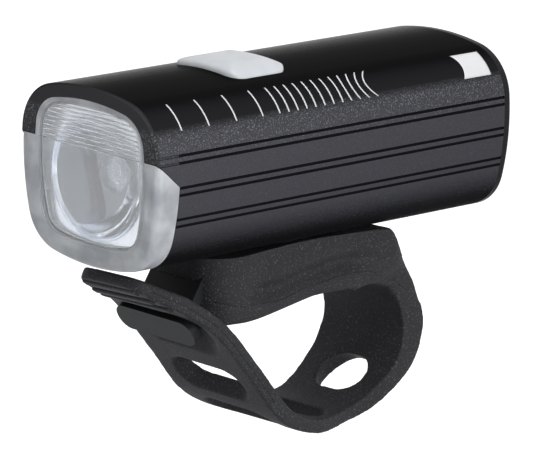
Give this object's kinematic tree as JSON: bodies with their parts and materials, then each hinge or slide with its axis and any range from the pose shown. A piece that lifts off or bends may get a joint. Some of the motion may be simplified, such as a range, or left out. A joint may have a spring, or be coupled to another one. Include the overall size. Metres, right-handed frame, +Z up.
{
  "type": "bicycle headlight",
  "caption": "Slim battery bicycle headlight in an extruded tube on a rubber handlebar strap that loops round the bar and buttons onto a hook; top push button, charging port.",
  "frame": {"origin": "centre of the handlebar that the strap's loop holds", "axes": "+X along the handlebar, -Y the way the beam points, +Z up"},
  "size_m": [0.0384, 0.0974, 0.0753],
  "materials": {
    "anodised_body": "gloss black anodised",
    "clear_cover": "clear, frosted at the skirt",
    "black_rubber": "matte",
    "clear_optic": "clear, polished",
    "grey_plastic": "satin grey",
    "phosphor": "yellow phosphor",
    "lamp_board": "white coated",
    "steel": "zinc plated",
    "bare_aluminium": "machined",
    "cell_wrap": "shrink-wrapped",
    "black_plastic": "matte",
    "board_green": "solder mask",
    "led_lens": "clear",
    "button_silicone": "translucent, satin",
    "gloss_black_plastic": "gloss",
    "hook_nylon": "satin dark grey",
    "strap_rubber": "fine speckled matte"
  },
  "bodies": {
    "strap_mount": {"strap_saddle": "strap_rubber", "hook_plate": "hook_nylon"},
    "light": {"housing": "anodised_body", "lens_cover": "clear_cover", "lens_gasket": "black_rubber", "optic": "clear_optic", "optic_frame": "grey_plastic", "led_emitter": "phosphor", "led_board": "lamp_board", "board_screws": "steel", "heat_sink": "bare_aluminium", "battery_cell": "cell_wrap", "battery_tabs": "steel", "battery_cradle": "black_plastic", "driver_board": "board_green", "switch_body": "black_plastic", "status_leds": "led_lens", "button_frame": "black_plastic", "usb_socket": "steel", "rear_cap": "gloss_black_plastic", "rear_gasket": "black_rubber", "rear_screws": "steel", "pivot_foot": "black_plastic", "pivot_washer": "steel", "pivot_screw": "steel"},
    "button": {"button_cap": "button_silicone", "switch_plunger": "black_plastic"},
    "port_flap": {"port_cover": "black_rubber"},
    "strap_end": {"strap_tail": "strap_rubber"}
  },
  "joints": [
    {"name": "swivel", "type": "hinge", "parent": "strap_mount", "child": "light", "pos_m": [0, -0.0168, 0.022], "axis": [0, 0, 1], "range_deg": [-15, 15]},
    {"name": "button_press", "type": "slide", "parent": "light", "child": "button", "axis": [0, 0, -1], "range_m": [0, 0.0006], "stiffness_N_per_m": 3000},
    {"name": "port_flap_hinge", "type": "hinge", "parent": "light", "child": "port_flap", "pos_m": [0, 0.03135, 0.04613], "axis": [-1, 0, 0], "range_deg": [0, 120]},
    {"name": "strap_bend", "type": "hinge", "parent": "strap_mount", "child": "strap_end", "pos_m": [0, -0.0156, -0.0171], "axis": [1, 0, 0], "range_deg": [0, 55], "stiffness_Nm_per_rad": 0.06, "springref_deg": -2.86}
  ]
}
